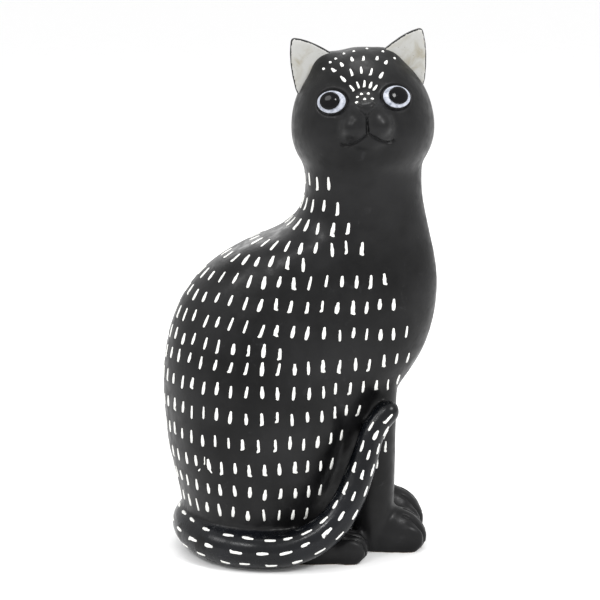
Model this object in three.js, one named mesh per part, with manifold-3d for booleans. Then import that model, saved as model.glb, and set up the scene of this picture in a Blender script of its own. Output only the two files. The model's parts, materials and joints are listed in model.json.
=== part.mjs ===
// A sitting cat figurine in slip-cast ceramic. Millimetres, +Z up.
//
// The torso and the head are cast hollow. The ears, legs, hind paws and tail are cast or pressed by
// themselves and luted on with slip, the eyes and the nose are sprigs, and a slab with a vent hole
// closes the base. The chest faces +X and the face looks along -Y, so the cat has turned its head
// to its right.
import * as THREE from "three";
import { mergeVertices } from "three/addons/utils/BufferGeometryUtils.js";
import Module from "manifold-3d";

const wasm = await Module();
wasm.setup();

// ---- Driving dimensions -------------------------------------------------------------------

// Torso, from the base to the joint under the head.
const torsoHeight = 211;
const bodyLength = 150;
const bodyWidth = 90;
const wall = 5;
const chestTaper = 0.14; // how much narrower a section is towards the chest
const neckTurn = 4; // how far the neck leans towards the face

// The thigh that swells from each flank.
const haunchLength = 92;
const haunchHeight = 150;
const haunchBulge = 5;
const haunchCentre = { x: -22, z: 66 };

// Head, an egg that is fuller above its widest point than below.
const headWidth = 76;
const headDepth = 76;
const headRise = 42.5;
const headDrop = 33;
const headSeat = 18.5; // the widest point, above the joint
const headRoll = 4.4; // degrees, the cat's left ear higher
const headYaw = 1.5; // degrees, towards the chest
const headWall = 5;

// Muzzle: a low mound with two puffs on it and a bridge above.
const muzzleWidth = 30;
const muzzleHeight = 24;
const muzzleLevel = 2; // above the head's widest point
const muzzleReach = 7.5; // how far the puffs stand out of the head
const puffSize = 16;
const puffSpread = 5.2; // from the middle of the face
const bridgeWidth = 12;
const lumpDepth = 9; // of each lump, half of it inside the head

// Ears.
const earHeight = 30;
const earWidth = 19.5;
const earThickness = 5.5;
const earTipRound = 3;
const earInset = 3.2; // the tips, in from the head's widest line
const earRise = 7.3; // the tips, above the crown
const earForward = 2;

// Eyes and nose.
const eyeWidth = 17.6;
const eyeHeight = 12.4;
const eyeSpread = 16.7; // from the middle of the face
const eyeLevel = 17.6; // above the head's widest point
const eyeStand = 1.3; // how proud the white stands of the head
const pupilDiameter = 9.8;
const pupilStand = 1.2;
const noseWidth = 9;
const noseHeight = 7;
const noseLevel = 13; // above the head's widest point
const noseStand = 2;

// Legs and paws.
const forelegThickness = 25;
const forelegFront = 0.35 * bodyLength; // the legs' front line
const forelegSpread = 12.6; // from the middle of the body
const forelegTop = 98;
const forepawReach = forelegFront + 17.5; // the toes' front
const forepawHeight = { left: 27, right: 23 }; // the left paw is the plumper
const forepawLength = 38;
const forepawWidth = 24.5;
const hindPawLength = 58;
const hindPawWidth = 23;
const hindPawHeight = 17;
const hindPawReach = forelegFront - 15;
const hindPawSpread = 32;
const toeCount = 4;

// Tail, from the rump round the right flank and up the right foreleg.
const tailRootDiameter = 21;
const tailTipDiameter = 12.5;
const tailTaper = 2.2; // the power by which it thins towards the tip

// Base slab and its vent.
const slabThickness = 5;
const ventDiameter = 16;
const ventPlace = -14; // along X

// Two pieces that meet keep this gap, which the luting slip fills.
const jointGap = 0.3;

// Fineness of the meshes.
const torsoSides = 40;
const torsoRings = 36;
const liningSides = 22;
const liningRings = 16;
const tailSteps = 32;
const tailSides = 14;

const degrees = THREE.MathUtils.degToRad;

// ---- Solids -------------------------------------------------------------------------------

// A closed geometry as a manifold-3d solid.
function solidOf(geometry) {
  const bare = new THREE.BufferGeometry();
  bare.setAttribute("position", geometry.getAttribute("position"));
  if (geometry.index) bare.setIndex(geometry.index);
  const merged = mergeVertices(bare, 1e-3);
  return new wasm.Manifold(
    new wasm.Mesh({
      numProp: 3,
      vertProperties: merged.getAttribute("position").array,
      triVerts: new Uint32Array(merged.index.array),
    }),
  );
}

function geometryOf(solid) {
  const mesh = solid.getMesh();
  const geometry = new THREE.BufferGeometry();
  geometry.setAttribute("position", new THREE.BufferAttribute(mesh.vertProperties, 3));
  geometry.setIndex(new THREE.BufferAttribute(mesh.triVerts, 1));
  return geometry;
}

function join(...geometries) {
  return geometryOf(geometries.map(solidOf).reduce((a, b) => a.add(b)));
}

function cut(geometry, ...cutters) {
  return geometryOf(cutters.map(solidOf).reduce((a, b) => a.subtract(b), solidOf(geometry)));
}

// A closed skin over rings of points that run anticlockwise seen from the last ring's end.
function loft(rings) {
  const sides = rings[0].length;
  const points = rings.flat();
  const faces = [];
  for (let r = 0; r + 1 < rings.length; r++) {
    for (let s = 0; s < sides; s++) {
      const a = r * sides + s;
      const b = r * sides + ((s + 1) % sides);
      faces.push(a, b, b + sides, a, b + sides, a + sides);
    }
  }
  const lastStart = (rings.length - 1) * sides;
  const capCentre = (ring) => {
    const centre = new THREE.Vector3();
    ring.forEach((p) => centre.add(p));
    return centre.divideScalar(sides);
  };
  const bottom = points.push(capCentre(rings[0])) - 1;
  const top = points.push(capCentre(rings.at(-1))) - 1;
  for (let s = 0; s < sides; s++) {
    const next = (s + 1) % sides;
    faces.push(bottom, next, s);
    faces.push(top, lastStart + s, lastStart + next);
  }
  return new THREE.BufferGeometry().setFromPoints(points).setIndex(faces);
}

function ellipsoid(radii, centre, grow = 0, sides = 20, rings = 14) {
  return new THREE.SphereGeometry(1, sides, rings)
    .rotateX(Math.PI / 2)
    .scale(radii.x + grow, radii.y + grow, radii.z + grow)
    .translate(centre.x, centre.y, centre.z);
}

// A block that is everything below a height, for trimming.
function below(height) {
  const size = 4 * (torsoHeight + bodyLength);
  return new THREE.BoxGeometry(size, size, size).translate(0, 0, height - size / 2);
}

function above(height) {
  const size = 4 * (torsoHeight + bodyLength);
  return new THREE.BoxGeometry(size, size, size).translate(0, 0, height + size / 2);
}

// ---- Torso --------------------------------------------------------------------------------

// The torso's outline: height as a share of torsoHeight, then the back and front lines as shares
// of half the length, and the flank as a share of half the width.
const outline = [
  [0.0, -0.8, 0.3, 0.79],
  [0.065, -0.845, 0.36, 0.88],
  [0.13, -0.88, 0.41, 0.94],
  [0.195, -0.915, 0.46, 0.975],
  [0.26, -0.962, 0.52, 1.0],
  [0.33, -0.983, 0.585, 1.01],
  [0.415, -0.998, 0.71, 1.01],
  [0.45, -0.998, 0.78, 1.005],
  [0.515, -0.98, 0.893, 0.985],
  [0.58, -0.94, 0.957, 0.96],
  [0.645, -0.873, 0.988, 0.925],
  [0.705, -0.757, 0.993, 0.875],
  [0.74, -0.66, 0.98, 0.835],
  [0.77, -0.54, 0.967, 0.8],
  [0.8, -0.385, 0.945, 0.765],
  [0.83, -0.18, 0.925, 0.72],
  [0.86, -0.055, 0.906, 0.685],
  [0.89, 0.005, 0.885, 0.66],
  [0.925, 0.036, 0.868, 0.645],
  [1.0, 0.022, 0.863, 0.67],
];
const outlineCurve = new THREE.CubicInterpolant(
  outline.map((row) => row[0] * torsoHeight),
  outline.flatMap(([, back, front, side]) => [
    (back * bodyLength) / 2,
    (front * bodyLength) / 2,
    (side * bodyWidth) / 2,
  ]),
  3,
);

// The torso's section at a height: its two ends along X, its half width and its middle in Y.
function torsoSection(height) {
  const [back, front, side] = outlineCurve.evaluate(THREE.MathUtils.clamp(height, 0, torsoHeight));
  const lean = THREE.MathUtils.smoothstep(height, 0.75 * torsoHeight, torsoHeight);
  return { back, front, side, middle: -neckTurn * lean };
}

// A point of the torso's surface; the turn is 0 at the chest and runs anticlockwise from above.
function torsoSurface(turn, height) {
  const { back, front, side, middle } = torsoSection(height);
  const x = (back + front) / 2 + ((front - back) / 2) * Math.cos(turn);
  const reach = Math.sin(turn) * (1 - chestTaper * Math.cos(turn));
  const along = (x - haunchCentre.x) / (haunchLength / 2);
  const up = (height - haunchCentre.z) / (haunchHeight / 2);
  const swell = haunchBulge * Math.max(0, 1 - along * along - up * up) ** 0.75;
  return new THREE.Vector3(x, middle + side * reach + Math.sign(reach) * swell, height);
}

// The same point moved out by grow along the surface's normal.
function torsoPoint(turn, height, grow = 0) {
  const point = torsoSurface(turn, height);
  if (grow === 0) return point;
  const step = 0.02;
  const round = torsoSurface(turn + step, height).sub(torsoSurface(turn - step, height));
  const rise = torsoSurface(turn, height + 1).sub(torsoSurface(turn, height - 1));
  return point.addScaledVector(round.cross(rise).normalize(), grow);
}

// Heights spaced evenly along the back line, so that the sloping shoulder gets its share.
function ringHeights(count) {
  const fine = 400;
  const backLine = Array.from({ length: fine + 1 }, (_, i) => {
    const height = (i / fine) * torsoHeight;
    return new THREE.Vector3(torsoSection(height).back, 0, height);
  });
  const run = [0];
  for (let i = 1; i <= fine; i++) run.push(run[i - 1] + backLine[i].distanceTo(backLine[i - 1]));
  return Array.from({ length: count }, (_, k) => {
    const wanted = (k / (count - 1)) * run[fine];
    return backLine[run.findIndex((length) => length >= wanted - 1e-6)].z;
  });
}

function torsoRing(height, grow, sides) {
  return Array.from({ length: sides }, (_, s) => torsoPoint((2 * Math.PI * s) / sides, height, grow));
}

// The torso as a plain solid, grown or shrunk, and run on past both ends when it is a cutter.
function torsoBody(grow = 0, overrun = 0, sides = torsoSides, rings = torsoRings) {
  const stack = ringHeights(rings).map((height) => torsoRing(height, grow, sides));
  if (overrun === 0) return loft(stack);
  const shift = (ring, height) => ring.map((p) => new THREE.Vector3(p.x, p.y, height));
  const inside = stack.filter((ring) => {
    const heights = ring.map((p) => p.z);
    return Math.min(...heights) > 1 && Math.max(...heights) < torsoHeight - 1;
  });
  const foot = shift(torsoRing(0, grow, sides), -overrun);
  const neck = shift(torsoRing(torsoHeight, grow, sides), torsoHeight + overrun);
  return loft([foot, ...inside, neck]);
}

function torsoShell() {
  return cut(torsoBody(), torsoBody(-wall, 2, liningSides, liningRings));
}

// ---- Head, in its own frame: the face looks along -Y and the cat's left is +X ---------------

function egg(grow = 0, sides = 32, rings = 22) {
  const geometry = new THREE.SphereGeometry(1, sides, rings).rotateX(Math.PI / 2);
  const place = geometry.getAttribute("position");
  for (let i = 0; i < place.count; i++) {
    const z = place.getZ(i);
    place.setXYZ(
      i,
      place.getX(i) * (headWidth / 2 + grow),
      place.getY(i) * (headDepth / 2 + grow),
      z * ((z > 0 ? headRise : headDrop) + grow),
    );
  }
  return geometry;
}

// How far the egg reaches towards -Y over a point of the face.
function facePoint(x, z) {
  const rise = z > 0 ? headRise : headDrop;
  const rest = 1 - (x / (headWidth / 2)) ** 2 - (z / rise) ** 2;
  return new THREE.Vector3(x, -(headDepth / 2) * Math.sqrt(Math.max(rest, 0)), z);
}

function faceNormal(x, z) {
  const p = facePoint(x, z);
  const rise = z > 0 ? headRise : headDrop;
  const a = headWidth / 2;
  const b = headDepth / 2;
  return new THREE.Vector3(p.x / a ** 2, p.y / b ** 2, p.z / rise ** 2).normalize();
}

function muzzleParts(grow = 0) {
  const front = facePoint(0, muzzleLevel).y;
  const lump = (width, height, x, reach, z) =>
    ellipsoid(
      new THREE.Vector3(width / 2, lumpDepth, height / 2),
      new THREE.Vector3(x, front - reach + lumpDepth, z),
      grow,
      14,
      10,
    );
  return [
    lump(muzzleWidth, muzzleHeight, 0, muzzleReach * 0.6, muzzleLevel),
    lump(puffSize, puffSize * 0.9, -puffSpread, muzzleReach, muzzleLevel + 1.5),
    lump(puffSize, puffSize * 0.9, puffSpread, muzzleReach, muzzleLevel + 1.5),
    lump(bridgeWidth, muzzleHeight * 0.8, 0, muzzleReach * 0.75, noseLevel - 2),
  ];
}

function headBody(grow = 0) {
  return join(egg(grow), ...muzzleParts(grow));
}

// The head sits over the middle of the neck. The joint under it is level, so the block that trims
// it is turned into the head's frame.
const headGroup = new THREE.Group();
const neck = torsoSection(torsoHeight);
headGroup.position.set((neck.back + neck.front) / 2, neck.middle, torsoHeight + headSeat);
headGroup.rotation.set(0, -degrees(headRoll), degrees(headYaw), "ZYX");
headGroup.updateMatrix();
const intoHead = headGroup.matrix.clone().invert();

function headShell() {
  const foot = below(torsoHeight + jointGap).applyMatrix4(intoHead);
  return cut(headBody(), egg(-headWall, 20, 14), foot);
}

// The ear's front outline: a tall corner whose outer edge is upright, rounded at the tip.
function earOutline(side) {
  const tip = { x: headWidth / 2 - earInset, z: headRise + earRise };
  const outer = { x: tip.x + 0.6, z: tip.z - earHeight };
  const inner = { x: tip.x - earWidth - 1.5, z: tip.z - 0.31 * earHeight };
  const root = { x: 0.4 * tip.x, z: 0.4 * tip.z };
  const shape = new THREE.Shape();
  shape.moveTo(side * root.x, root.z);
  shape.lineTo(side * (outer.x - 3), outer.z - 4);
  shape.quadraticCurveTo(side * (tip.x + 2.4), (outer.z + tip.z) / 2, side * tip.x, tip.z - earTipRound);
  shape.quadraticCurveTo(side * (tip.x - 0.4), tip.z + 0.6, side * (tip.x - earTipRound), tip.z - 0.4);
  shape.quadraticCurveTo(side * (tip.x - earWidth / 2), tip.z - 1.4, side * inner.x, inner.z);
  shape.closePath();
  return shape;
}

function ear(side) {
  const bevel = earThickness / 4;
  const plate = new THREE.ExtrudeGeometry(earOutline(side), {
    depth: earThickness - 2 * bevel,
    bevelThickness: bevel,
    bevelSize: bevel,
    bevelOffset: -bevel,
    bevelSegments: 2,
    curveSegments: 5,
  });
  plate.rotateX(Math.PI / 2).translate(0, earThickness / 2 - bevel - earForward, 0);
  return cut(plate, headBody(jointGap));
}

// An oval dome that lies on the face, its long way level; grow makes it a cutter.
function dome(width, height, stand, x, z, lift = 0, grow = 0) {
  const inward = faceNormal(x, z).negate();
  const level = new THREE.Vector3(0, 0, 1).cross(inward).negate().normalize();
  const upright = level.clone().cross(inward);
  const place = facePoint(x, z).addScaledVector(inward, -lift);
  return new THREE.SphereGeometry(1, 16, 12)
    .scale(width / 2 + grow, stand + grow, height / 2 + grow)
    .applyMatrix4(new THREE.Matrix4().makeBasis(level, inward, upright))
    .translate(place.x, place.y, place.z);
}

function eyeDome(side, grow = 0) {
  return dome(eyeWidth, eyeHeight, eyeStand + jointGap, side * eyeSpread, eyeLevel, 0, grow);
}

function eye(side) {
  return cut(eyeDome(side), headBody(jointGap));
}

function pupil(side) {
  const lift = eyeStand + jointGap;
  const bead = dome(pupilDiameter, pupilDiameter, pupilStand + jointGap, side * eyeSpread, eyeLevel, lift);
  return cut(bead, eyeDome(side, jointGap), headBody(jointGap));
}

// A small heart of clay across the lower end of the bridge.
function nose() {
  const front = facePoint(0, muzzleLevel).y - muzzleReach * 0.75;
  const lobe = new THREE.Vector3(noseWidth * 0.3, noseStand + 1.5, noseHeight * 0.38);
  const point = new THREE.Vector3(noseWidth * 0.22, noseStand + 1.5, noseHeight * 0.5);
  const lobes = [-1, 1].map((side) =>
    ellipsoid(lobe, new THREE.Vector3(side * noseWidth * 0.2, front + 1.5, noseLevel + 1), 0, 12, 8),
  );
  const tip = ellipsoid(point, new THREE.Vector3(0, front + 1.5, noseLevel - 0.8), 0, 12, 8);
  return cut(join(...lobes, tip), headBody(jointGap));
}

// ---- Legs and paws; side is 1 for the cat's left, which is +Y, and -1 for its right -----------

// A low round paw with its toes in a shallow arc, trimmed flat where it stands.
function paw(size, reach, spread, side, grow = 0) {
  const rise = size.height * 0.7;
  const level = size.height - rise;
  const middle = new THREE.Vector3(reach - size.length / 2 - 1, side * spread, level);
  const body = ellipsoid(new THREE.Vector3(size.length / 2, size.width / 2, rise), middle, grow, 16, 10);
  const pitch = size.width / toeCount;
  const toes = Array.from({ length: toeCount }, (_, i) => {
    const across = (i - (toeCount - 1) / 2) * pitch;
    const back = (across / size.width) ** 2 * 16;
    const radii = new THREE.Vector3(size.toe, pitch * 0.6, size.height * size.toeRise);
    const place = new THREE.Vector3(reach - size.toe - back, side * spread + across, radii.z * 0.8);
    return ellipsoid(radii, place, grow, 8, 8);
  });
  return join(body, ...toes);
}

function forepaw(side) {
  const height = side > 0 ? forepawHeight.left : forepawHeight.right;
  return { length: forepawLength, width: forepawWidth, height, toe: 10, toeRise: 0.38 };
}

const hindPaw = {
  length: hindPawLength,
  width: hindPawWidth,
  height: hindPawHeight,
  toe: 9,
  toeRise: 0.46,
};

function forelegBody(side, grow = 0) {
  const radius = forelegThickness / 2;
  const profile = [
    [0, 0.9],
    [0.3, 0.94],
    [0.65, 1],
    [0.85, 1],
    [1, 0.7],
  ];
  const rings = profile.map(([share, width]) => {
    const height = share * forelegTop + (share === 0 ? -grow : 0) + (share === 1 ? grow : 0);
    return Array.from({ length: 20 }, (_, s) => {
      const turn = (2 * Math.PI * s) / 20;
      const reach = radius * width + grow;
      const x = forelegFront - radius + reach * Math.cos(turn) - (1 - width) * radius * 0.2;
      return new THREE.Vector3(x, side * forelegSpread + reach * Math.sin(turn), height);
    });
  });
  return join(loft(rings), paw(forepaw(side), forepawReach, forelegSpread, side, grow));
}

// The forelegs stand side by side, so each stops half a joint's gap short of the middle.
function foreleg(side) {
  const otherHalf = new THREE.BoxGeometry(bodyLength, bodyWidth, 3 * torsoHeight);
  otherHalf.translate(forelegFront, (-side * (bodyWidth - jointGap)) / 2, 0);
  return cut(forelegBody(side), torsoBody(jointGap, 2), otherHalf, below(0));
}

function hindPawBody(side, grow = 0) {
  return paw(hindPaw, hindPawReach, hindPawSpread, side, grow);
}

function hindPawPiece(side) {
  const neighbours = [torsoBody(jointGap, 2), forelegBody(side, jointGap)];
  return cut(hindPawBody(side), ...neighbours, below(0));
}

// ---- Tail ---------------------------------------------------------------------------------

// The tail's route: its turn round the torso in degrees, its height, and how far its centre line
// stands out, measured level, from the torso's surface there. It starts inside the rump and ends
// above the right forepaw.
// The route is laid out on a torso of this size. On another it stretches with the torso, and its
// front part keeps its place beside the foreleg.
const routeTorso = { length: 150, height: 211, forelegFront: 52.5 };
const tailRoute = [
  [150, 14, -13],
  [163, 14, -6],
  [180, 13.5, -3.5],
  [200, 13, -1.5],
  [222, 12, 1],
  [243, 11, 3.5],
  [262, 10.4, 6],
  [277, 10.8, 9],
  [287, 13.2, 11.5],
  [296, 18, 14],
  [304, 26, 15.5],
  [310, 36, 15.5],
  [315, 48, 14],
  [319, 60, 12],
  [321, 69, 10.5],
  [323.5, 77, 10],
  [326.5, 83, 11],
];

function tailCurve() {
  const taller = torsoHeight / routeTorso.height;
  const longer = bodyLength / routeTorso.length;
  const points = tailRoute.map(([turn, level, stand]) => {
    const height = level * taller;
    const surface = torsoPoint(degrees(turn), height);
    const outward = torsoPoint(degrees(turn), height, 1).sub(surface).setZ(0).normalize();
    const besideLeg = surface.x / longer + forelegFront - routeTorso.forelegFront;
    surface.x = THREE.MathUtils.lerp(surface.x, besideLeg, THREE.MathUtils.smoothstep(turn, 240, 290));
    return surface.addScaledVector(outward, stand);
  });
  return new THREE.CatmullRomCurve3(points, false, "centripetal");
}

function tailRadius(share) {
  return (tailTipDiameter + (tailRootDiameter - tailTipDiameter) * (1 - share ** tailTaper)) / 2;
}

function tailBody() {
  const curve = tailCurve();
  const frames = curve.computeFrenetFrames(tailSteps, false);
  const ring = (step, radius, onward) => {
    const centre = curve.getPointAt(step / tailSteps);
    centre.addScaledVector(frames.tangents[step], onward);
    return Array.from({ length: tailSides }, (_, s) => {
      const turn = (2 * Math.PI * s) / tailSides;
      return centre
        .clone()
        .addScaledVector(frames.normals[step], radius * Math.cos(turn))
        .addScaledVector(frames.binormals[step], radius * Math.sin(turn));
    });
  };
  const rings = Array.from({ length: tailSteps + 1 }, (_, i) => ring(i, tailRadius(i / tailSteps), 0));
  const tip = tailTipDiameter / 2;
  for (const angle of [25, 50, 72].map(degrees)) {
    rings.push(ring(tailSteps, tip * Math.cos(angle), tip * Math.sin(angle)));
  }
  return loft(rings);
}

function tail() {
  const neighbours = [torsoBody(jointGap, 2), forelegBody(-1, jointGap), hindPawBody(-1, jointGap)];
  return cut(tailBody(), ...neighbours, below(0));
}

// ---- Base ---------------------------------------------------------------------------------

function baseSlab() {
  const inside = torsoBody(-(wall + jointGap), 2, liningSides, liningRings);
  const floor = cut(inside, below(0), above(slabThickness));
  const vent = new THREE.CylinderGeometry(ventDiameter / 2, ventDiameter / 2, 4 * slabThickness, 24);
  vent.rotateX(Math.PI / 2).translate(ventPlace, 0, 0);
  return cut(floor, vent);
}

// ---- The cat ------------------------------------------------------------------------------

const finishes = {
  black_glaze: new THREE.MeshStandardMaterial({ color: 0x1b1b1c, roughness: 0.5 }),
  cream_glaze: new THREE.MeshStandardMaterial({ color: 0xd9d5c8, roughness: 0.55 }),
  eye_white: new THREE.MeshStandardMaterial({ color: 0xd8dce6, roughness: 0.35 }),
  pupil_gloss: new THREE.MeshStandardMaterial({ color: 0x060607, roughness: 0.08 }),
  bare_clay: new THREE.MeshStandardMaterial({ color: 0xb9a793, roughness: 0.9 }),
};

function piece(name, geometry, finish) {
  const mesh = new THREE.Mesh(geometry, finish);
  mesh.name = name;
  return mesh;
}

const { black_glaze, eye_white, pupil_gloss, bare_clay } = finishes;
headGroup.add(piece("head_shell", headShell(), black_glaze), piece("nose", nose(), black_glaze));
for (const [word, side] of [["left", 1], ["right", -1]]) {
  headGroup.add(
    piece(`ear_${word}`, ear(side), finishes.cream_glaze),
    piece(`eye_${word}`, eye(side), eye_white),
    piece(`pupil_${word}`, pupil(side), pupil_gloss),
  );
}

const cat = new THREE.Group();
cat.add(headGroup);
cat.add(piece("torso_shell", torsoShell(), black_glaze));
cat.add(piece("base_slab", baseSlab(), bare_clay));
cat.add(piece("tail", tail(), black_glaze));
for (const [word, side] of [["left", 1], ["right", -1]]) {
  cat.add(piece(`foreleg_${word}`, foreleg(side), black_glaze));
  cat.add(piece(`hind_paw_${word}`, hindPawPiece(side), black_glaze));
}

// The origin is the middle of the base, under the middle of the whole cat.
const extent = new THREE.Box3().setFromObject(cat);
const middle = extent.getCenter(new THREE.Vector3());
cat.position.set(-middle.x, -middle.y, -extent.min.z);

export default cat;
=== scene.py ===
# %% [markdown]
# # A glazed cat with brushed slip dashes
# This lesson builds a sitting cat, a hollow ceramic ornament with a satin black glaze, small raised
# dashes of white slip, cream ears and domed eyes. The measured model comes first and is never
# changed: the new pieces copy it, measure it, or are laid over it.
# %% Load the measured model
import json
import math
import random

import bmesh
import bpy
from mathutils import Matrix, Vector
from mathutils.bvhtree import BVHTree
from mathutils.kdtree import KDTree

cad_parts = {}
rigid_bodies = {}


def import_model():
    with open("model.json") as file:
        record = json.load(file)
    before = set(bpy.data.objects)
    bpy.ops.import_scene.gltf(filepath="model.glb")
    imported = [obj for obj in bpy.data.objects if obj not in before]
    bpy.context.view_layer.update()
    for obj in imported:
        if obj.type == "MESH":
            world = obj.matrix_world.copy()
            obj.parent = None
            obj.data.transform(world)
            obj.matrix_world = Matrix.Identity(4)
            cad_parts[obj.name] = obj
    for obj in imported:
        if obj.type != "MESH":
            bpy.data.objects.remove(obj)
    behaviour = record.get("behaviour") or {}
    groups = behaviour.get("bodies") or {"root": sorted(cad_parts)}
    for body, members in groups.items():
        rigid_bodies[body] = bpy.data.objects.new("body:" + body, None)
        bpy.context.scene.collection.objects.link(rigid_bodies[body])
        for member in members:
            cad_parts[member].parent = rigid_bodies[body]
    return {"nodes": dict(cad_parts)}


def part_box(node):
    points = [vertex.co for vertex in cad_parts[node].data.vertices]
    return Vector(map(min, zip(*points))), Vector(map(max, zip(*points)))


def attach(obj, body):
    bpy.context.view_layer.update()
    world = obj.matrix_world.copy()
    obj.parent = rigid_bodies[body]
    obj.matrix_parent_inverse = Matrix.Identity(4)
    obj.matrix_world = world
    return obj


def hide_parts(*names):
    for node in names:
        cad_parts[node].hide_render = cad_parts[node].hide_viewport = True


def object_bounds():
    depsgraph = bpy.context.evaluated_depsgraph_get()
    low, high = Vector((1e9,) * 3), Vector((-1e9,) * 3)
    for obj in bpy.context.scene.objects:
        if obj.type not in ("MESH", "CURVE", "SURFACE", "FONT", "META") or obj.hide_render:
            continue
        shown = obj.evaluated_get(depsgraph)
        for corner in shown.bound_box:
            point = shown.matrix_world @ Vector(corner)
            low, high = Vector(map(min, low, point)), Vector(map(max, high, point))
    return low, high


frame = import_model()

measured_box = [list(corner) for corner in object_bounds()]
low, high = map(Vector, measured_box)
MM = 0.001
body_middle = 3.89  # the tail on one flank sets the body off the middle of the box
chance = random.Random(11)
print("measured model", [round((b - a) / MM, 1) for a, b in zip(low, high)], "mm")

# %% [markdown]
# ## Camera
# The ornament is seen from a little above, from nearly a metre away, with a long lens, so that its
# upright lines stay upright. The camera could be placed by eye, but naming the distance, the height
# and the point it looks at makes the view easy to repeat. It is made first because everything else
# is judged through it.
# %% Camera
camera_distance = 900 * MM
camera_height = 325 * MM
lens_length = 101.96
aim_side = 0.18 * MM
aim_height = 135.6 * MM
aim = Vector(((low.x + high.x) / 2 + aim_side, body_middle * MM, aim_height))

bpy.ops.object.camera_add(location=(aim.x, aim.y - camera_distance, camera_height))
camera = bpy.context.object
camera.name = "studio_camera"
camera.rotation_euler = (aim - camera.location).to_track_quat("-Z", "Y").to_euler()
camera.data.lens = lens_length
camera.data.clip_end = 20
bpy.context.scene.camera = camera
drop = (camera_height - aim_height) / (aim - camera.location).length
print("camera looks down by", round(math.degrees(math.asin(drop)), 1), "degrees")


# %% [markdown]
# ## Working habits
# An operator acts on whatever is selected, so a few small helpers choose the object or the faces
# first. `only` selects objects, `pick` opens edit mode with some faces or vertices selected by their
# place, `shape_with` adds one modifier and applies it, and `settle` moves an object's place and size
# into its mesh, so that each finished piece sits at the origin.
# %% Helpers for objects
def only(*objects):
    bpy.ops.object.select_all(action="DESELECT")
    for obj in objects:
        obj.select_set(True)
    bpy.context.view_layer.objects.active = objects[0]


def settle(obj):
    only(obj)
    bpy.ops.object.transform_apply(location=True, rotation=True, scale=True)
    return obj


def shape_with(obj, kind, **settings):
    only(obj)
    modifier = obj.modifiers.new(kind, kind)
    for name, value in settings.items():
        setattr(modifier, name, value)
    bpy.ops.object.modifier_apply(modifier=modifier.name)


def join(name, *objects):
    only(*objects)
    bpy.ops.object.join()
    objects[0].name = name
    return objects[0]


def added(name):
    obj = bpy.context.object
    obj.name = name
    return settle(obj)


only(frame["nodes"]["torso_shell"])
print("helpers for objects are ready")


# %% Helpers for edit mode
def pick(obj, test, kind="FACE"):
    only(obj)
    bpy.ops.object.mode_set(mode="EDIT")
    bpy.ops.mesh.select_mode(type=kind)
    bpy.ops.mesh.select_all(action="DESELECT")
    mesh = bmesh.from_edit_mesh(obj.data)
    items = mesh.faces if kind == "FACE" else mesh.verts
    chosen = [item for item in items if test(item)]
    for item in chosen:
        item.select_set(True)
    mesh.select_flush_mode()
    bmesh.update_edit_mesh(obj.data)
    return len(chosen)


def leave():
    bpy.ops.object.mode_set(mode="OBJECT")


def weigh(obj, name, weight):
    """Gives every vertex its weight, a number from 0 to 1, in the vertex group of that name."""
    group = obj.vertex_groups.get(name) or obj.vertex_groups.new(name=name)
    for vertex in obj.data.vertices:
        group.add([vertex.index], min(max(weight(vertex.co), 0), 1), "REPLACE")


def surface_of(obj):
    """A search tree of the object's surface, for finding where a line meets it."""
    return BVHTree.FromObject(obj, bpy.context.evaluated_depsgraph_get())


def finer(points, step):
    """The same line with points no further apart than step."""
    line = [points[0]]
    for start, end in zip(points, points[1:]):
        count = max(1, math.ceil((end - start).length / step))
        line += [start.lerp(end, number / count) for number in range(1, count + 1)]
    return line


def tree_of(points):
    """A search tree of the points, which finds the one nearest to a place."""
    tree = KDTree(len(points))
    for number, point in enumerate(points):
        tree.insert(point, number)
    tree.balance()
    return tree


print("helpers for edit mode are ready")


# %% [markdown]
# ## Torso
# The real torso is one hollow casting. The measured torso already has its outline, in flat facets
# around a rough lining. Copying it keeps the outline, taking the lining out leaves one clean skin,
# and a subdivision surface rounds the facets. The edges at the foot and at the neck are creased, so
# that they keep their place.
# %% Torso core
def clay_copy(node, name):
    """A separate copy of a measured piece, with its loose triangles merged."""
    obj = bpy.data.objects.new(name, frame["nodes"][node].data.copy())
    obj.data.materials.clear()
    bpy.context.scene.collection.objects.link(obj)
    pick(obj, lambda vertex: True, "VERT")
    bpy.ops.mesh.remove_doubles(threshold=0.01 * MM)
    leave()
    return obj


torso_low, torso_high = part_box("torso_shell")
torso = clay_copy("torso_shell", "torso_core")


def on_rim(face):
    height = face.calc_center_median().z
    level = abs(face.normal.z) > 0.99
    return level and (height < 0.1 * MM or height > torso_high.z - 0.1 * MM)


pick(torso, on_rim)
bpy.ops.mesh.delete(type="FACE")
leave()
pick(torso, lambda vertex: vertex.co.x < torso_low.x + 0.3 * MM, "VERT")
bpy.ops.mesh.select_linked()
bpy.ops.mesh.select_all(action="INVERT")
bpy.ops.mesh.delete(type="VERT")
bpy.ops.mesh.select_all(action="SELECT")
bpy.ops.mesh.tris_convert_to_quads()
bpy.ops.mesh.select_all(action="DESELECT")
bpy.ops.mesh.select_non_manifold()
bpy.ops.transform.edge_crease(value=1)
bpy.ops.mesh.fill_holes(sides=0)
leave()
shape_with(torso, "SUBSURF", levels=2, render_levels=2)
print("torso core", len(torso.data.polygons), "faces")

# %% [markdown]
# ## Head
# The head is an egg, taller above than below, with a muzzle of soft mounds. It is modelled upright
# at the origin, where left and right are easy to match, and then put in its place with its small
# tilt. The line between the measured eyes gives that tilt.
# %% Head frame
crown_stretch = 1.12
jaw_stretch = 0.87
head_low, head_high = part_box("head_shell")
head_radius = (head_high.x - head_low.x) / 2
head_centre = Vector((
    (head_low.x + head_high.x) / 2,
    head_high.y - head_radius,
    head_high.z - crown_stretch * head_radius,
))


def middle_of(node):
    corner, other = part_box(node)
    return (corner + other) / 2


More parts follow.
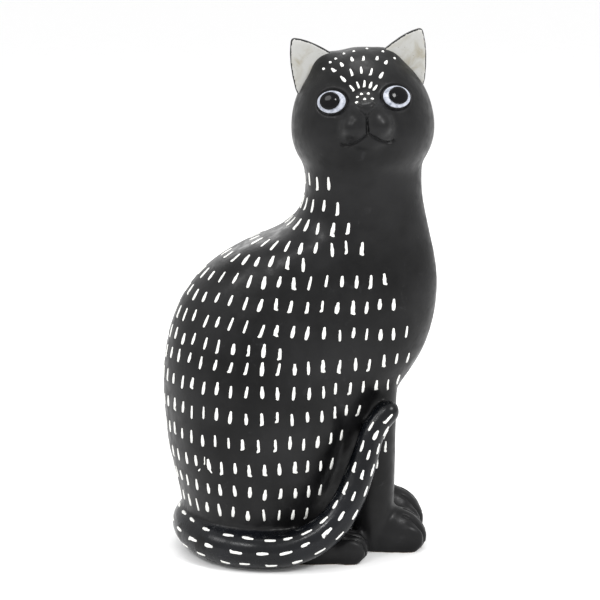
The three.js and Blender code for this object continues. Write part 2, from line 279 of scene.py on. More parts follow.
across = (middle_of("eye_left") - middle_of("eye_right")).normalized()
backward = Vector((0, 0, 1)).cross(across).normalized()
upward = across.cross(backward)
head_frame = Matrix.Translation(head_centre) @ Matrix((across, backward, upward)).transposed().to_4x4()
print("the head tilts by", round(math.degrees(math.asin(across.z)), 1), "degrees")

# %% [markdown]
# The egg starts as a sphere. Its upper half is stretched and its lower half flattened in edit mode.
# Each mound of the muzzle is a small stretched sphere that stands a few millimetres out of it, and
# two large ones, not quite alike, raise the crown under the ears. The mounds could be pulled out of
# the egg by hand, but separate mounds are easier to place.
# %% Head and muzzle
bpy.ops.object.select_all(action="DESELECT")
bpy.ops.mesh.primitive_uv_sphere_add(segments=96, ring_count=64, radius=head_radius)
head = added("head_core")
pick(head, lambda vertex: vertex.co.z > 0.01 * MM, "VERT")
bpy.ops.transform.resize(value=(1, 1, crown_stretch), center_override=(0, 0, 0))
leave()
pick(head, lambda vertex: vertex.co.z < -0.01 * MM, "VERT")
bpy.ops.transform.resize(value=(1, 1, jaw_stretch), center_override=(0, 0, 0))
leave()

face_front = -head_radius


def ball(name, radii, centre, segments=40, rings=24):
    """A stretched sphere; all in millimetres."""
    bpy.ops.mesh.primitive_uv_sphere_add(
        segments=segments, ring_count=rings, radius=1,
        location=[value * MM for value in centre], scale=[value * MM for value in radii])
    return added(name)


def mound(name, width, height, depth, side, reach, level):
    """A soft mound on the face; side is from its middle, reach how far it stands out; all in mm."""
    bpy.ops.mesh.primitive_uv_sphere_add(
        segments=48, ring_count=32, radius=1,
        location=(side * MM, face_front + (depth - reach) * MM, level * MM),
        scale=(width / 2 * MM, depth * MM, height / 2 * MM))
    return added(name)


face_parts = [
    mound("muzzle", 30, 26, 9, 0, 4.6, 4.0),
    mound("snout", 21, 22, 9, 0, 6.0, 9.5),
    mound("puff_right", 15, 14, 8.5, -5.9, 7.0, 4.6),
    mound("puff_left", 15, 14, 8.5, 5.9, 7.0, 4.6),
    mound("nose_right", 6.4, 5.0, 3.6, -2.5, 8.8, 15.6),
    mound("nose_left", 6.4, 5.0, 3.6, 2.5, 8.8, 15.6),
    mound("nose_tip", 4.6, 7.4, 3.6, 0, 9.1, 13.2),
]
ear_roots = []
for name, centre, radii in (("root_right", (-14, 0, 26.3), (13, 17, 15.4)),
                            ("root_left", (10.5, 0, 20), (17, 21, 21.8))):
    ear_roots.append(ball(name, radii, centre, 48, 32))
head = join("head_core", head, *face_parts, *ear_roots)
head.matrix_world = head_frame
settle(head)
print("head core", len(head.data.polygons), "faces from", len(face_parts) + 1, "shapes")

# %% [markdown]
# ## Legs and paws
# The forelegs are round columns that run up into the chest, and each paw is a low mound with four
# toes in a shallow arc. A column starts as a cylinder that is narrowed at its foot, and a paw is
# again built of stretched spheres. Left and right differ a little, as they do in hand-finished ware:
# the left forepaw is the plumper.
# %% Legs and paws
sides = {"left": 1, "right": -1}
toe_count = 4
foreleg_thickness = 25
foreleg_front = 52.7
foreleg_height = 92
foreleg_lift = 0.5
forepaw_reach = 70.1
forepaw_spread = 12.6
forepaw_length = 38
forepaw_width = 24.5
forepaw_heights = {"left": 27, "right": 23}
hind_paw_reach = 37.6
hind_paw_spread = 32
hind_paw_length = 58
hind_paw_width = 23
hind_paw_height = 17


def paw(name, reach, middle, length, width, height, toe, toe_rise):
    """A paw whose toes end at reach; all in millimetres."""
    heart = (reach - length / 2 - 1, middle, 0.3 * height)
    body = ball(name, (length / 2, width / 2, 0.7 * height), heart)
    pitch = width / toe_count
    toes = []
    for number in range(toe_count):
        beside = (number - (toe_count - 1) / 2) * pitch
        back = (beside / width) ** 2 * 16
        rise = height * toe_rise
        place = (reach - toe - back, middle + beside, rise * 0.8)
        toes.append(ball(name + "_toe", (toe, 0.57 * pitch, rise), place))
    return join(name, body, *toes)


def foreleg(name, middle):
    """A column that is narrowed at its foot; middle is in millimetres."""
    radius = foreleg_thickness / 2 * MM
    centre = ((foreleg_front - foreleg_thickness / 2) * MM, middle * MM)
    level = (foreleg_height / 2 + foreleg_lift) * MM
    bpy.ops.mesh.primitive_cylinder_add(vertices=64, radius=radius, depth=foreleg_height * MM,
                                        location=(*centre, level))
    column = added(name)
    pick(column, lambda vertex: vertex.co.z < 10 * MM, "VERT")
    bpy.ops.transform.resize(value=(0.9, 0.9, 1), center_override=(*centre, 0))
    leave()
    return column


legs = []
for word, side in sides.items():
    middle = body_middle + side * forepaw_spread
    hind_middle = body_middle + side * hind_paw_spread
    legs.append(foreleg("foreleg_" + word, middle))
    legs.append(paw("forepaw_" + word, forepaw_reach, middle, forepaw_length, forepaw_width,
                    forepaw_heights[word], toe=10, toe_rise=0.38))
    legs.append(paw("hind_paw_" + word, hind_paw_reach, hind_middle, hind_paw_length, hind_paw_width,
                    hind_paw_height, toe=9, toe_rise=0.46))
print("legs and paws", len(legs), "shapes")

# %% [markdown]
# ## Tail
# The tail is a rolled coil of clay that leaves the rump, follows the right flank along the ground
# and climbs the foreleg. Each step of its route says how far round the torso, how high, and how far
# out from the skin. Rays that meet the torso turn that into places. A Bezier curve is the natural
# start, because its thickness can change from point to point.
# %% Tail route
tail_root = 21
tail_tip = 12.5
tail_spacing = 0.7 * MM
tail_steps = [  # degrees round the torso from the chest, height, and distance out from its skin
    (150, 14, -13), (163, 14, -6), (180, 13.5, -3.5), (200, 13, -1.5), (222, 12, 1), (243, 11, 3.5),
    (262, 10.4, 6), (277, 10.8, 9), (287, 13.2, 11.5), (296, 18, 14), (304, 26, 15.5),
    (310, 36, 15.5), (315, 48, 14), (319, 60, 12), (321, 69, 10.5), (323.5, 76, 10), (326, 81.5, 11),
]
torso_skin = surface_of(torso)


def beside_torso(turn, height, stand):
    """A place off the torso's skin, or off its nearest point where the ray misses; lengths in mm."""
    level = Vector((0, body_middle, height)) * MM
    far = Vector((200 * MM, 0, 0))
    front = torso_skin.ray_cast(level + far, -far.normalized())[0].x
    back = torso_skin.ray_cast(level - far, far.normalized())[0].x
    side = math.copysign(1, math.sin(turn))
    start = level.copy()
    start.x = (back + front) / 2 + (front - back) / 2 * math.cos(turn)
    beyond = start + Vector((0, side * far.x, 0))
    spot, normal = torso_skin.ray_cast(beyond, Vector((0, -side, 0)))[:2]
    if not spot:
        spot, normal = torso_skin.find_nearest(start)[:2]
    return spot + Vector((normal.x, normal.y, 0)).normalized() * stand * MM


def tail_radius(share):
    """The tail's radius in millimetres at a share of its length."""
    return (tail_tip + (tail_root - tail_tip) * (1 - share ** 2.2)) / 2


route = [beside_torso(math.radians(turn), height, stand) for turn, height, stand in tail_steps]
tail_line = finer(route, tail_spacing)
runs = [len(finer(route[:number + 1], tail_spacing)) - 1 for number in range(len(route))]
radii = [tail_radius(run / (len(tail_line) - 1)) for run in runs]
print("tail route from", [round(value / MM, 1) for value in route[0]], "to",
      [round(value / MM, 1) for value in route[-1]])

# %% [markdown]
# The tail's end is rounded by a few more points, whose radii shrink as they do on a ball.
# %% Tail
tip_turns = (28, 50, 68, 82)
heading = (route[-1] - route[-2]).normalized()
last, last_radius = route[-1].copy(), radii[-1]
for degrees in tip_turns:
    turn = math.radians(degrees)
    route.append(last + heading * last_radius * MM * math.sin(turn))
    radii.append(last_radius * math.cos(turn))

bpy.ops.object.select_all(action="DESELECT")
bpy.ops.curve.primitive_bezier_curve_add()
tail = bpy.context.object
tail.name = "tail_coil"
spline = tail.data.splines[0]
spline.bezier_points.add(len(route) - len(spline.bezier_points))
for point, place, radius in zip(spline.bezier_points, route, radii):
    point.co = place
    point.radius = radius
    point.handle_left_type = point.handle_right_type = "AUTO"
spline.resolution_u = 8
spline.radius_interpolation = "CARDINAL"
tail.data.dimensions = "3D"
tail.data.bevel_depth = MM
tail.data.bevel_resolution = 8
tail.data.use_fill_caps = True
only(tail)
bpy.ops.object.convert(target="MESH")
tail = bpy.context.object
settle(tail)
pick(tail, lambda vertex: True, "VERT")
bpy.ops.mesh.remove_doubles(threshold=0.01 * MM)
bpy.ops.mesh.normals_make_consistent(inside=False)
leave()
print("tail", len(tail.data.polygons), "faces")

# %% [markdown]
# ## One glazed body
# Slip and glaze run over every joint of the real cat, so its torso, head, legs and tail read as one
# skin. Joining the shapes and remeshing them in small cubes makes that one skin. Smoothing then fills
# the inner corners as slip does. A vertex group holds the smoothing back on the muzzle, the toes and
# the tail, so that they stay crisp.
# %% Remesh and smooth
voxel = 1.33 * MM
body = join("glazed_body", torso, head, tail, *legs)
shape_with(body, "REMESH", mode="VOXEL", voxel_size=voxel, use_smooth_shade=True)

muzzle_spot = head_frame @ Vector((0, face_front, 6 * MM))
tail_tree = tree_of(tail_line)


def out_of_tail(place):
    """How far a spot is outside the tail's surface, in millimetres."""
    number, gap = tail_tree.find(place)[1:]
    return gap / MM - tail_radius(number / (len(tail_line) - 1))


def softness(place):
    """How freely a spot is smoothed: 1 on plain skin, little on the muzzle, the toes and the tail."""
    from_muzzle = 0.3 + 0.7 * max((place - muzzle_spot).length / (12 * MM) - 1, 0)
    above_toes = 0.05 + max((place.z - 20 * MM) / (12 * MM), (24 * MM - place.x) / (12 * MM), 0)
    from_tail = 0.12 + max(out_of_tail(place) - 1, 0) / 8
    return min(from_muzzle, above_toes, from_tail, 1)


weigh(body, "soft", softness)
shape_with(body, "SMOOTH", factor=0.5, iterations=5)
shape_with(body, "SMOOTH", factor=0.5, iterations=30, vertex_group="soft")
print("glazed body", len(body.data.polygons), "faces")

# %% [markdown]
# ## Fine lines
# The mouth, the line under the nose and the rims of the eyes are drawn into the soft clay with a
# wooden tool. A line is laid on the skin as points, the faces near a fine one are divided, and a
# Displace modifier presses it in, or raises it a little for the lids. Its vertex group is strongest
# along the middle of the line and fades to its sides.
# %% Laying lines on the skin
def on_face(side, level):
    """The point of the skin straight behind a spot of the face, in the head's own millimetres."""
    start = head_frame @ Vector((side * MM, -2 * head_radius, level * MM))
    return skin.ray_cast(start, backward)[0]


def carve(obj, name, lines, width, depth, cuts=0):
    """Presses lines into the surface, or raises them where the depth is negative."""
    points = [point for line in lines for point in finer(line, width / 3)]
    tree = tree_of(points)
    if cuts:
        pick(obj, lambda face: tree.find(face.calc_center_median())[2] < 2.2 * width)
        bpy.ops.mesh.subdivide(number_cuts=cuts)
        bpy.ops.mesh.vertices_smooth(factor=0.5, repeat=2)
        leave()
    weigh(obj, name, lambda place: math.exp(-((tree.find(place)[2] / width) ** 2)))
    shape_with(obj, "DISPLACE", strength=-depth, mid_level=0, vertex_group=name)
    return len(points)


skin = surface_of(body)
print("lines can be laid on the skin")

# %% [markdown]
# The mouth is a flat w that hangs from the line under the nose, and its corners turn up a little.
# %% Mouth and eye rims
eye_side = 16.7
eye_level = 17.6
eye_width = 16.3
eye_height = 11.8
eye_tilt = {-1: 5, 1: 0}  # degrees, on the right and on the left
slope_reach = 3.5  # how far from the eye's middle the face's slope is measured
half_mouth = [(0, 1.4), (2.4, -0.6), (4.9, -2.4), (7.6, -3.9), (10.2, -4.7), (12.2, -4.6), (13.4, -3.8)]
nostril_wing = [(4.9, 16.6), (4.3, 13.9), (2.6, 12.0), (0, 10.2)]
mouth = [[on_face(sign * side, level) for side, level in half_mouth] for sign in (-1, 1)]
lip_line = [on_face(0, level) for level in (10.4, 8.0, 5.5, 3.2, 1.4)]
nostrils = [[on_face(sign * side, level) for side, level in nostril_wing] for sign in (-1, 1)]


def eye_frame(sign):
    """The eye's own directions: level along the lids, inward, and up, with its middle on the skin."""
    middle = on_face(sign * eye_side, eye_level)
    around = [on_face(sign * eye_side + slope_reach * math.cos(turn),
                      eye_level + slope_reach * math.sin(turn))
              for turn in (0, math.pi / 2, math.pi, 3 * math.pi / 2)]
    level = (around[0] - around[2]).normalized()
    upright = (around[1] - around[3]).normalized()
    inward = upright.cross(level).normalized()
    tilt = Matrix.Rotation(math.radians(eye_tilt[sign]), 3, inward)
    level = tilt @ level
    return Matrix.Translation(middle) @ Matrix((level, inward, level.cross(inward))).transposed().to_4x4()


def ring_on_skin(frame_of_eye, width, height, steps=40):
    """A closed oval round an eye, laid on the skin; width and height in millimetres."""
    ring = []
    for number in range(steps + 1):
        turn = 2 * math.pi * number / steps
        spot = frame_of_eye @ Vector((width / 2 * math.cos(turn) * MM, 0, height / 2 * math.sin(turn) * MM))
        ring.append(skin.find_nearest(spot)[0])
    return ring


eye_frames = {"right": eye_frame(-1), "left": eye_frame(1)}
rims = [ring_on_skin(each, eye_width + 0.9, eye_height + 0.9) for each in eye_frames.values()]
lids = [ring_on_skin(each, eye_width + 4.4, eye_height + 4.4) for each in eye_frames.values()]
carve(body, "lids", lids, 1.6 * MM, -0.2 * MM)
carve(body, "rims", rims, 0.8 * MM, 1.0 * MM, cuts=1)
carve(body, "mouth", mouth + [lip_line], 0.62 * MM, 1.3 * MM, cuts=2)
carve(body, "nose_edge", nostrils, 0.8 * MM, 0.75 * MM)
print("glazed body with its lines", len(body.data.polygons), "faces")

# %% [markdown]
# The toes are parted by three lines over the front of each paw, and a shallow hollow in front of each
# thigh sets it off from the chest.
# %% Toes and thighs
skin = surface_of(body)


def over_paw(reach, middle, length, height, beside):
    """A line over the front of a paw, from near the ground to its top."""
    heart = Vector((reach - 0.42 * length, middle + beside, 0.3 * height)) * MM
    line = []
    for degrees in range(-12, 79, 9):
        turn = math.radians(degrees)
        outward = Vector((math.cos(turn), 0, math.sin(turn)))
        line.append(skin.ray_cast(heart + outward * 60 * MM, -outward)[0])
    return line


forepaw_toe = 6.1
hind_paw_toe = 5.7
toe_lines = []
for word, side in sides.items():
    middle = body_middle + side * forepaw_spread
    hind_middle = body_middle + side * hind_paw_spread
    for number in (-1, 0, 1):
        toe_lines.append(over_paw(forepaw_reach, middle, forepaw_length, forepaw_heights[word],
                                  number * forepaw_toe))
        toe_lines.append(over_paw(hind_paw_reach, hind_middle, hind_paw_length, hind_paw_height,
                                  number * hind_paw_toe)[:8])
thigh_edge = [(15, 103), (21, 89), (24.3, 75), (24, 64), (21.5, 52), (16.4, 39)]
thigh_lines = [[skin.ray_cast(Vector((place, side * 100, level)) * MM, Vector((0, -side, 0)))[0]
                for place, level in thigh_edge] for side in (-1, 1)]
carve(body, "toes", toe_lines, 0.8 * MM, 1.1 * MM, cuts=1)
carve(body, "thighs", thigh_lines, 5.5 * MM, 1.5 * MM)
print("toe lines", len(toe_lines))

# %% [markdown]
# ## Eyes
# The whites are low oval sprigs and the pupils are round beads on top of them. Both are spheres,
# flattened along the direction that faces out of the head, so that only a low dome shows.
# %% Eyes
white_depth = 1.35
pupil_radii = (5.7, 1.3, 4.65)
pupil_side = {"left": 0.2, "right": -0.3}
pupil_stand = 1.5
pupil_rise = 0.2


def dome(name, where, radii, segments):
    """A ball in the directions of its place, flattened inward; the radii are in millimetres."""
    bpy.ops.object.select_all(action="DESELECT")
    bpy.ops.mesh.primitive_uv_sphere_add(segments=segments, ring_count=32, radius=1)
    obj = bpy.context.object
    obj.name = name
    obj.matrix_world = where @ Matrix.Diagonal((*[radius * MM for radius in radii], 1))
    return settle(obj)


whites, pupils = [], []
for word, where in eye_frames.items():
    whites.append(dome("eye_white_" + word, where, (eye_width / 2, white_depth, eye_height / 2), 64))
    lift = Matrix.Translation((pupil_side[word] * MM, -pupil_stand * MM, pupil_rise * MM))
    pupils.append(dome("pupil_bead_" + word, where @ lift, pupil_radii, 48))
for obj in whites + pupils:
    only(obj)
    bpy.ops.object.shade_smooth()
print("eyes", [obj.name for obj in whites + pupils])

# %% [markdown]
# ## Ears
# Each ear is pressed from a flat pat of clay and set on the crown. The measured ear has the outline,
# with hard edges. Remeshing it in half-millimetre cubes and smoothing it rounds the rim as a
# finger would, and a Displace modifier cups it. The foot of the ear is pushed into the head to
# close the joint. The cream inside is a thin layer of its own, copied from the front faces.
# %% Ears
ears, linings = [], []
for word, side in sides.items():
    ear = clay_copy("ear_" + word, "ear_shell_" + word)
    corner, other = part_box("ear_" + word)
    ear_middle = (corner + other) / 2 + across * side * 2 * MM
    pick(ear, lambda face: face.normal.dot((head_centre - face.calc_center_median()).normalized()) > 0.8)
    bpy.ops.transform.translate(value=(head_centre - ear_middle).normalized() * 1.3 * MM)
    leave()
    shape_with(ear, "REMESH", mode="VOXEL", voxel_size=0.5 * MM, use_smooth_shade=True)
    shape_with(ear, "SMOOTH", factor=0.5, iterations=8)
    weigh(ear, "cup", lambda place: 1 - ((place - ear_middle).length / (13 * MM)) ** 2)
    shape_with(ear, "DISPLACE", direction="Y", strength=1.1 * MM, mid_level=0, vertex_group="cup")
    pick(ear, lambda face: face.normal.dot(backward) < -0.80)
    bpy.ops.mesh.duplicate()
    bpy.ops.mesh.separate(type="SELECTED")
    leave()
    lining = [obj for obj in bpy.context.selected_objects if obj != ear][0]
    lining.name = "ear_lining_" + word
    only(lining)
    bpy.ops.object.mode_set(mode="EDIT")
    bpy.ops.mesh.select_mode(type="VERT")
    bpy.ops.mesh.select_all(action="DESELECT")
    bpy.ops.mesh.select_non_manifold()
    bpy.ops.mesh.vertices_smooth(factor=0.5, repeat=10)
    leave()
    shape_with(lining, "SOLIDIFY", thickness=0.35 * MM, offset=1)
    ears.append(ear)
    linings.append(lining)
print("ears", [len(obj.data.polygons) for obj in ears + linings])

# %% [markdown]
# ## Foot
# The cat stands on an unglazed ring of clay, and the measured slab closes its inside. A Boolean cuts
# a pocket for the slab, a little larger all round, with a hull of the slab that is stretched up and
# a little down. It runs on above the slab, so that the vent hole looks into the dark inside.
# %% Pocket for the base slab
pocket_depth = 40 * MM
pocket_drop = 2 * MM
slab_gap = 0.3 * MM
pocket = clay_copy("base_slab", "pocket_cutter")
pick(pocket, lambda vertex: True, "VERT")
bpy.ops.mesh.convex_hull()
bpy.ops.transform.shrink_fatten(value=slab_gap)
leave()
pick(pocket, lambda vertex: vertex.co.z > 2 * MM, "VERT")
bpy.ops.transform.translate(value=(0, 0, pocket_depth))
bpy.ops.mesh.select_all(action="INVERT")
bpy.ops.transform.translate(value=(0, 0, -pocket_drop))
leave()
pick(body, lambda vertex: vertex.co.z < 0.25 * MM, "VERT")
bpy.ops.transform.resize(value=(1, 1, 0), center_override=(0, 0, 0))
leave()
cutter = surface_of(pocket)
shape_with(body, "BOOLEAN", operation="DIFFERENCE", object=pocket, solver="MANIFOLD")
pocket_faces = {face.index for face in body.data.polygons
                if cutter.find_nearest(face.center)[3] < 0.01 * MM}
bpy.data.objects.remove(pocket)
only(body)
bpy.ops.object.shade_smooth_by_angle(angle=math.radians(50))
print("glazed body with its foot", len(body.data.polygons), "faces")

# %% [markdown]
# ## A dab of slip
# Every dash is one touch of a loaded brush: fat where the brush lands, thin where it lifts, and
# slightly raised. The dab starts as a flat disc. Its upper half is narrowed and its outline inset,
# and the inner part goes into a vertex group that will be raised once the dab lies on the skin.
# Some dabs get a hook, as where the brush slipped. Each shape's seed makes its outline uneven in its
# own way.
# %% Dab shapes
dab_length = 6.9
dab_width = 2.35


def dab_shape(name, seed, taper, hook=0, length=dab_length, width=dab_width):
    """A flat dab about the origin, its thin end towards +Y; hook pulls one lower corner aside."""
    bpy.ops.object.select_all(action="DESELECT")
    bpy.ops.mesh.primitive_circle_add(vertices=12, radius=length / 2 * MM, fill_type="NGON")
    dab = bpy.context.object
    dab.name = name

    def widen(test, share):
        pick(dab, test, "VERT")
        bpy.ops.transform.resize(value=(share, 1, 1), center_override=(0, 0, 0))
        leave()

    widen(lambda vertex: True, width / length)
    widen(lambda vertex: abs(vertex.co.y) > 0.4 * length * MM and abs(vertex.co.x) > 0.01 * MM, 1.5)
    widen(lambda vertex: abs(vertex.co.y) > 0.15 * length * MM
          and abs(vertex.co.x) > 0.42 * width * MM, 1.05)
    widen(lambda vertex: vertex.co.y > 0.1 * length * MM, taper)
    pick(dab, lambda vertex: True, "VERT")
    bpy.ops.transform.vertex_random(offset=0.16 * MM, seed=seed)
    bpy.ops.transform.resize(value=(1, 1, 0), center_override=(0, 0, 0))
    leave()
    if hook:
        pick(dab, lambda vertex: vertex.co.y < -0.3 * length * MM and vertex.co.x * hook > 0, "VERT")
        bpy.ops.transform.translate(value=(hook * 0.8 * MM, -0.1 * MM, 0))
        leave()
    pick(dab, lambda face: True)
    bpy.ops.mesh.inset(thickness=0.26 * MM)
    bpy.ops.mesh.poke()
    leave()
    inner = dab.vertex_groups.new(name="crown")
    rim = {index for edge in dab.data.edges for index in edge.vertices
           if sum(set(edge.vertices) <= set(face.vertices) for face in dab.data.polygons) == 1}
    inner.add([vertex.index for vertex in dab.data.vertices if vertex.index not in rim], 1, "REPLACE")
    return dab


dab_shapes = [
    dab_shape("dab_plain", 9, 0.78),
    dab_shape("dab_slim", 8, 0.85, width=1.75),
    dab_shape("dab_full_one", 12, 0.74, width=2.25),
    dab_shape("dab_hook", 8, 0.76, hook=1),
    dab_shape("dab_hook_back", 13, 0.82, hook=-1, width=1.8),
    dab_shape("dab_wavering", 12, 0.8, width=1.95),
    dab_shape("dab_wavering_more", 17, 0.7, width=2.15),
]
dot_shape = dab_shape("dab_dot", 7, 0.8, length=2.0, width=1.7)
print("dab shapes", len(dab_shapes) + 1, "with", len(dot_shape.data.polygons), "faces each")


# %% [markdown]
# A dash needs a place, the skin's normal there, and a direction along the skin. The copies are set
# down flat and joined. A Shrinkwrap modifier then lays them on the skin, a Displace modifier raises
# their middles, and a Solidify modifier closes them underneath, just below the glaze.
# %% Laying dabs
def dab_copy(place, normal, direction, length=1.0, width=1.0, shape=None):
    shape = shape or chance.choice(dab_shapes)
    along = (direction - normal * direction.dot(normal)).normalized()
    across_dab = along.cross(normal)
    turn = Matrix((across_dab, along, normal)).transposed().to_4x4()
    copy = bpy.data.objects.new("dab", shape.data.copy())
    copy.data.transform(Matrix.Translation(place) @ turn @ Matrix.Diagonal((width, length, 1, 1)))
    bpy.context.scene.collection.objects.link(copy)
    return copy


def lay_dabs(name, dabs, target, stand=0.3 * MM):
    """Joins the dabs and lays them on the target's surface, standing a little proud of it."""
    dashes = join(name, *dabs)
    dashes.data.materials.clear()
    shape_with(dashes, "SHRINKWRAP", target=target, offset=-0.05 * MM)
    shape_with(dashes, "DISPLACE", strength=stand, mid_level=0, vertex_group="crown")
    shape_with(dashes, "SOLIDIFY", thickness=0.3 * MM, offset=-1)
    only(dashes)
    bpy.ops.object.shade_smooth()
    return dashes


skin = surface_of(body)
print("dabs can be laid")

# %% [markdown]
# ## Dashes on the body
# The dashes run round the body in level rows, from the edge of the bare bib on one flank, round the
# back, to the edge of the bib on the other. Each row has its height at the back and at the front and
# the place where it stops. The dabs are spaced evenly along the skin, each a little off, and they
# point up the slope of the skin, leaning forward over the shoulder. Three small dabs on the foreleg
# and three thin ones on the haunch, where the brush slipped, are set one by one.
# %% Rows of dashes
dash_pitch = 7.7
rump = 70  # how far the rump lies behind the middle
rows = [  # height at the back, height at the front, and how far forward the row runs
    (203, 203, 14.5), (191, 191, 19.5), (180.5, 180, 25), (170.5, 170, 32), (163, 162, 2),
    (153, 153, 44), (143.5, 139, 49.5), (133, 123, 57), (121, 117, -10), (110.5, 108, 58),
    (98, 95, 52), (84, 82, 36), (70, 68, 23), (57, 54, 18.5), (43.5, 40.5, 11), (32, 28, 5),
]


def row_contour(back_height, front_height, front_end):
    """Points of the skin along a row, from the right flank round the back to the left flank."""
    contour = []
    for step in range(0, 361):
        turn = math.radians(-step)
        outward = Vector((math.cos(turn), math.sin(turn), 0))
        height = (back_height + front_height) / 2
        for attempt in range(3):
            middle = axis_at(height)
            spot, normal = skin.ray_cast(middle + outward * 150 * MM, -outward)[:2]
            share = min(max((spot.x / MM + rump) / (front_end + rump), 0), 1)
            height = back_height + (front_height - back_height) * share
        if spot.x < (front_end + 0.5) * MM:
            contour.append((spot, normal, share))
    return contour


def axis_at(height):
    """The middle of the body at a height, below the head."""
    slope = min(max((height - 60) / 145, 0), 1)
    return Vector((-14 + 46 * slope ** 1.6, body_middle, height)) * MM


def spaced(contour, pitch):
    """Every point of the contour that is a pitch from the last one, each a little off."""
    chosen = [contour[0]]
    run, wanted = 0, pitch
    for before, after in zip(contour, contour[1:]):
        run += (after[0] - before[0]).length
        if run >= wanted * MM:
            chosen.append(after)
            run, wanted = 0, pitch + chance.uniform(-0.7, 0.7)
    return chosen


dabs = []
for back_height, front_height, front_end in rows:
    shoulder = math.exp(-(((back_height - 140) / 42) ** 2))
    for spot, normal, share in spaced(row_contour(back_height, front_height, front_end), dash_pitch):
        shift = Vector((0, 0, chance.uniform(-0.9, 0.9))) * MM
        forward = Vector((1, 0, 0)) * (0.28 * shoulder * (1.15 - share) + chance.uniform(-0.12, 0.12))
        dabs.append(dab_copy(spot + shift, normal, Vector((0, 0, 1)) + forward,
                             chance.uniform(0.86, 1.12), chance.uniform(0.85, 1.12)))
leg_dabs = ((70, 45.5), (60, 46), (51, 41.5))  # height and place along the body
for level, place in leg_dabs:
    spot, normal = skin.ray_cast(Vector((place, -80, level)) * MM, Vector((0, 1, 0)))[:2]
    dabs.append(dab_copy(spot, normal, Vector((0.1, 0, 1)), 0.9, 0.7))
thin_dabs = ((-50, 58, 0.05, 0.7), (-47, 53, -0.9, 0.5), (-53, 52, 1.2, 0.35))
for place, level, lean, length in thin_dabs:
    spot, normal = skin.ray_cast(Vector((place, -120, level)) * MM, Vector((0, 1, 0)))[:2]
    dabs.append(dab_copy(spot, normal, Vector((lean, 0, 1)), length, 0.4))
body_dashes = lay_dabs("body_dashes", dabs, body)
print("dashes on the body", len(dabs), "with", len(body_dashes.data.polygons), "faces")

# %% [markdown]
# ## Dashes on the face
# A fan of dashes opens from the bridge of the nose to the crown: dots round the bridge, then rings
# of strokes that all point at the same spot, and dots again along the crown. Each ring has its
# distance from that spot and the angles of its strokes. A length of 1 marks the rings of dots.
# %% Face fan
fan_centre = (-0.5, 16.8)
fan = [  # distance from the centre, the angles, the length and the width of its dabs
    (4.3, (-84, -48, -14, 30, 70), 1.00, 1.00),
    (1.2, (10,), 1.00, 1.00),
    (9.6, (-37, -18, 3, 24, 42), 0.62, 0.70),
    (16.0, (-36, -19, -2, 17, 35), 0.74, 0.72),
    (22.6, (-38, -25, -11, 4, 19, 34), 0.60, 0.75),
    (26.5, (-46, -38, -29, -20, -7, 8, 23, 37), 1.00, 0.90),
]


def seen_from_front(reach, turn):
    """The skin at a spot of the fan, as a painter sees it who faces the cat."""
    side = fan_centre[0] + reach * math.sin(turn)
    level = fan_centre[1] + reach * math.cos(turn)
    spot = head_frame @ Vector((side * MM, -head_radius, level * MM))
    return skin.ray_cast(camera.location, spot - camera.location)[:2]


dabs = []
for distance, angles, length, width in fan:
    for angle in angles:
        turn = math.radians(angle + chance.uniform(-2, 2))
        reach = distance + chance.uniform(-0.6, 0.6)
        spot, normal = seen_from_front(reach, turn)
        below = seen_from_front(reach - 1.5, turn)[0]
        if not spot:
            continue
        shape = dot_shape if length == 1 else None
        dabs.append(dab_copy(spot, normal, spot - below, length, width, shape))
face_dashes = lay_dabs("face_dashes", dabs, body)
print("dashes on the face", len(dabs))

# %% [markdown]
# ## Dashes on the tail
# Three rows of dashes run along the tail, each row set half a step on from the next. Their places
# are worked out along the tail's route, on its outer side.
# %% Tail dashes
tail_pitch = 11.5
fine_line = finer(route[:len(tail_steps)], 0.5 * MM)
dabs = []
for row, offset in ((54, 0.0), (10, 0.5), (-32, 0.0)):
    run = tail_pitch * (0.4 + offset)
    travelled = 0
    for before, after in zip(fine_line, fine_line[1:]):
        travelled += (after - before).length / MM
        if travelled < run:
            continue
        run += tail_pitch + chance.uniform(-0.8, 0.8)
        ahead = (after - before).normalized()
        sideways = 0.3 if after.x > 0 else 1
        outward = Vector(((after.x + 5 * MM) * sideways, after.y - body_middle * MM, 0)).normalized()
        outward = (outward - ahead * outward.dot(ahead)).normalized()
        over = outward.cross(ahead)
        turn = math.radians(row + chance.uniform(-5, 5))
        look = outward * math.cos(turn) + over * math.sin(turn)
        spot, normal = skin.ray_cast(after + look * 30 * MM, -look)[:2]
        if spot and spot.z > 2 * MM and out_of_tail(spot) < 1.5:
            dabs.append(dab_copy(spot, normal, ahead,
                                 chance.uniform(0.75, 1.05), chance.uniform(0.75, 1.0)))
tail_dashes = lay_dabs("tail_dashes", dabs, body)
for shape in dab_shapes + [dot_shape]:
    bpy.data.objects.remove(shape)
print("dashes on the tail", len(dabs))

# %% [markdown]
# ## Finishes
# Each finish starts from a Principled shader. Noise at several sizes, read from Object coordinates
# so that it stays fixed to the clay, varies the colour, the gloss and the height. Small helpers add
# the nodes.
# %% Helpers for finishes
def new_finish(name):
    material = bpy.data.materials.new(name)
    material.use_nodes = True
    tree = material.node_tree
    place = tree.nodes.new("ShaderNodeTexCoord").outputs["Object"]
    return material, tree, tree.nodes["Principled BSDF"], place


def noise(tree, place, size, detail=4.0, rough=0.5, distort=0.0):
    """Cloudy noise whose features are about size millimetres across."""
    node = tree.nodes.new("ShaderNodeTexNoise")
    tree.links.new(place, node.inputs["Vector"])
    node.inputs["Scale"].default_value = 1 / (size * MM)
    node.inputs["Detail"].default_value = detail
    node.inputs["Roughness"].default_value = rough
    node.inputs["Distortion"].default_value = distort
    return node.outputs["Fac"]


